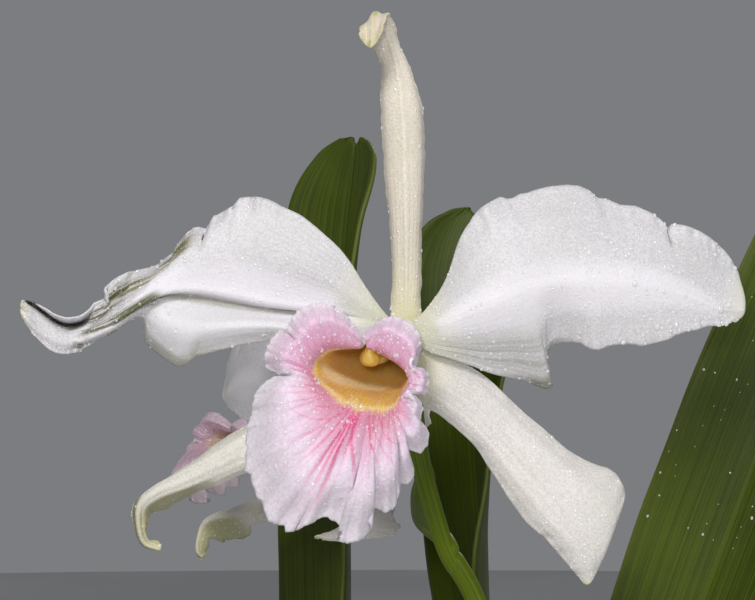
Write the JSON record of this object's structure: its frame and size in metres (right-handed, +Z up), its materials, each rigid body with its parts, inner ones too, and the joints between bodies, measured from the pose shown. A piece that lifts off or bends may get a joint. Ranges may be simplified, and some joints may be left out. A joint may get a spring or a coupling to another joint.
{
  "type": "potted orchid",
  "caption": "Flowering orchid in a clay pot: broad pale petals round a ruffled pink lip with a golden throat, on a stem above leathery strap leaves.",
  "frame": {"origin": "middle of the pot's flat underside, where the pot stands", "axes": "+Z up, the flowers face -Y, +X to the right as seen from in front of the flowers"},
  "size_m": [0.3419, 0.2252, 0.5689],
  "materials": {
    "petal": "soft white tissue with a faint sheen",
    "sepal": "soft cream tissue, greener at base and tip",
    "lip": "soft pale pink tissue, pink veins and a golden throat",
    "column": "waxy cream yellow",
    "stem": "smooth green, slightly glossy",
    "leaf": "leathery dark green with a midrib",
    "pseudobulb": "ribbed dull green",
    "sheath": "dry papery straw colour",
    "root": "silvery skin with a green tip",
    "bark": "rough moist bark chips",
    "pot": "unglazed terracotta",
    "water": "clear round drops"
  },
  "bodies": {
    "root": {"clay_pot": "pot", "potting_bark": "bark", "rhizome": "pseudobulb", "root_1": "root", "root_2": "root", "root_3": "root", "root_4": "root", "new_shoot": "leaf", "flowering_pseudobulb": "pseudobulb", "second_pseudobulb": "pseudobulb", "third_pseudobulb": "pseudobulb", "fourth_pseudobulb": "pseudobulb", "oldest_pseudobulb": "pseudobulb", "flowering_sheath": "sheath", "second_sheath": "sheath", "third_sheath": "sheath", "fourth_sheath": "sheath", "oldest_sheath": "sheath", "flowering_leaf": "leaf", "second_leaf": "leaf", "third_leaf": "leaf", "fourth_leaf": "leaf", "spathe": "sheath", "flower_stem": "stem", "front_flower_stalk": "stem", "back_flower_stalk": "stem", "front_flower_dorsal_sepal": "sepal", "front_flower_left_petal": "petal", "front_flower_right_petal": "petal", "front_flower_left_lateral_sepal": "sepal", "front_flower_right_lateral_sepal": "sepal", "front_flower_lip": "lip", "front_flower_column": "column", "front_flower_anther_cap": "column", "back_flower_dorsal_sepal": "sepal", "back_flower_left_petal": "petal", "back_flower_right_petal": "petal", "back_flower_left_lateral_sepal": "sepal", "back_flower_right_lateral_sepal": "sepal", "back_flower_lip": "lip", "back_flower_column": "column", "back_flower_anther_cap": "column"}
  },
  "joints": []
}
